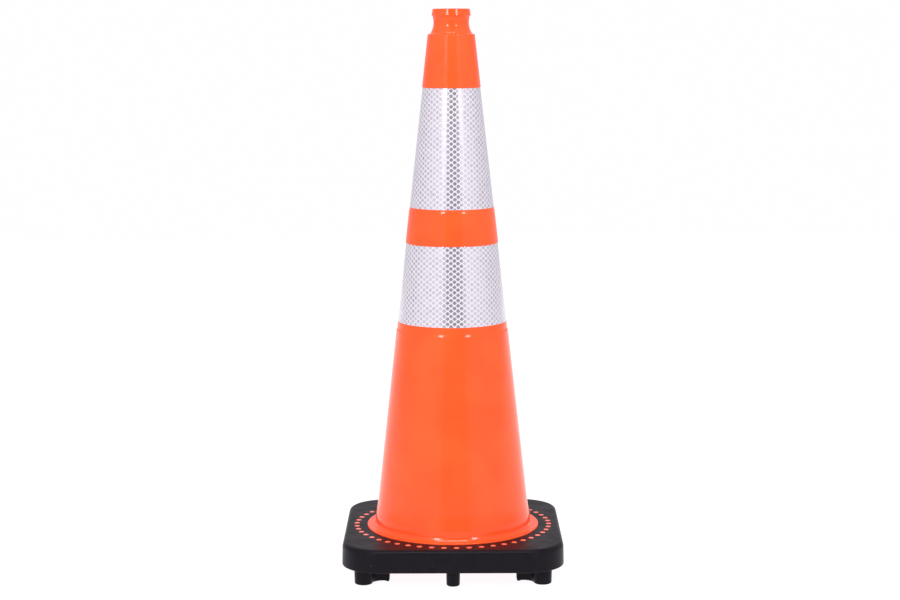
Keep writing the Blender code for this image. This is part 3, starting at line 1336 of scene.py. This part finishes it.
@dataclass
class Studio:
    """A light table in a white room, with a dark gap in the room's wall behind the camera.

    The camera's place is in metres. The edges are the angles between which the wall changes.
    """

    floor: WhiteAcrylic
    table_half: float = 4000.0
    table_round: float = 300.0
    table_levels: Pair = (-10.0, -0.02)
    room_white: str = "#F8F4FA"
    seen_white: float = 1.1
    front_wall: float = 0.94
    side_wall: float = 0.72
    back_wall: float = 0.70
    gap_wall: float = 0.33
    gap_middle: float = radians(4.5)
    gap_edge: Pair = (radians(18), radians(26))
    side_edge: Pair = (radians(60), radians(105))
    back_edge: Pair = (radians(130), radians(160))
    softboxes: Sequence[Softbox] = (
        Softbox("Left lamp", radians(-24), radians(23.6), 0.46, 0.44, 16.0),
        Softbox("Right lamp", radians(33), radians(23.6), 0.36, 0.38, 11.0),
        Softbox("Top bank", radians(-2), radians(62), 1.9, 0.5, 49.0),
    )
    camera_place: tuple[float, float, float] = (-0.0027, -2.497, 0.681)
    camera_tilt: float = radians(7.74)
    camera_roll: float = radians(-0.2)
    lens: float = 78.6
    sensor: float = 36.0

    def build_world(self) -> None:
        """Builds the white room. Rays straight from the camera see plain white all round."""
        world = bpy.data.worlds.new("White room")
        world.use_nodes = True
        tree = world.node_tree
        tree.nodes.clear()
        node = partial(add_node, tree)
        way = node("ShaderNodeTexCoord").outputs["Generated"]
        x, y, _ = node("ShaderNodeSeparateXYZ", {0: way}).outputs
        ahead = node(MATH, {0: y, 1: -1.0}, operation="MULTIPLY")
        azimuth = node(MATH, {0: x, 1: ahead}, operation="ARCTAN2")
        turn = node(MATH, {0: azimuth}, operation="ABSOLUTE")
        past = node(MATH, {0: azimuth, 1: self.gap_middle}, operation="SUBTRACT")
        off = node(MATH, {0: past}, operation="ABSOLUTE")
        steps = (
            (off, self.gap_edge, self.front_wall - self.gap_wall),
            (turn, self.side_edge, self.side_wall - self.front_wall),
            (turn, self.back_edge, self.back_wall - self.side_wall),
        )
        level: float | Node = self.gap_wall
        for angle, (start, end), change in steps:
            span = {"Value": angle, "From Min": start, "From Max": end, "To Max": change}
            level = node(MATH, {0: level, 1: node(RANGE, span, **SMOOTH)}, operation="ADD")
        seen = node("ShaderNodeLightPath").outputs["Is Camera Ray"]
        plain = node(MATH, {0: seen, 1: self.seen_white}, operation="MULTIPLY")
        strength = node(MATH, {0: level, 1: plain}, operation="MAXIMUM")
        room = {"Color": linear(self.room_white), "Strength": strength}
        node("ShaderNodeOutputWorld", {"Surface": node("ShaderNodeBackground", room)})
        bpy.context.scene.world = world

    def build_floor(self) -> None:
        """Builds the light table, a thin round-cornered slab whose top is the ground plane."""
        bm = bmesh.new()
        half = self.table_half
        corners = ((-half, -half), (half, -half), (half, half), (-half, half))
        outline = rounded([Corner(x, y, self.table_round) for x, y in corners])
        add_loft(bm, [(outline, z) for z in self.table_levels])
        table = object_from_bmesh("light_table", bm)
        table.data.materials.append(self.floor.material())

    def build_camera(self) -> None:
        """Builds the camera in front of the cone, a little above its rim's height."""
        data = bpy.data.cameras.new("Camera")
        data.sensor_width = self.sensor
        data.lens = self.lens
        camera = new_object("Camera", data)
        tilt = Matrix.Rotation(pi / 2 - self.camera_tilt, 4, "X")
        roll = Matrix.Rotation(self.camera_roll, 4, "Z")
        camera.matrix_world = Matrix.Translation(self.camera_place) @ tilt @ roll
        bpy.context.scene.camera = camera

    def build(self) -> None:
        """Builds the room, floor, lights and camera."""
        self.build_world()
        self.build_floor()
        for box in self.softboxes:
            box.build()
        self.build_camera()
        bpy.context.scene.view_settings.view_transform = "Standard"


def collar_from_frame(node: str, taper: Taper, offset: Point) -> Collar:
    """Sizes a collar from its CAD node, with its pattern offset in the flat sheet."""
    low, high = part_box(node)
    return Collar(node, taper, high.z / MM, low.z / MM, offset=offset)


def main() -> None:
    """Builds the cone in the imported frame, dresses it and sets up the studio."""
    logging.basicConfig(level=logging.INFO, format="%(name)s: %(message)s")
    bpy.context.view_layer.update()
    taper = Taper()
    orange = GlossPvc().material()
    # Painted sheen: the studs' paler orange stands in for the pale reflection that their flat tops
    # catch.
    painted_sheen = GlossPvc(
        name="Fluorescent orange flexible PVC, rubbed",
        colour="#FF7C62",
        deeper="#FA6C52",
        roughness=(0.22, 0.30),
        specular=0.95,
    ).material()
    collars = [
        collar_from_frame("upper_collar", taper, (0.6, 0.0)),
        collar_from_frame("lower_collar", taper, (1.5, 2.0)),
    ]
    gap = collars[0].gap
    seats = [(collar.top + gap, collar.bottom - gap) for collar in collars]
    shell = ConeShell(taper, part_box("cone_body")[1].z / MM, seats)
    studs = StudRing()
    base = MouldedBase(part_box("base")[1].x / MM, shell, studs)
    sheeting = PrismaticSheeting().material()
    pieces = [
        shell.build(orange),
        studs.build(painted_sheen),
        base.build(RecycledPvc(edge=base.half).material()),
        *(collar.build(sheeting) for collar in collars),
    ]
    for piece in pieces:
        log.info("%s: %d faces", piece.name, len(piece.data.polygons))
    Studio(WhiteAcrylic()).build()


if __name__ == "__main__":
    main()
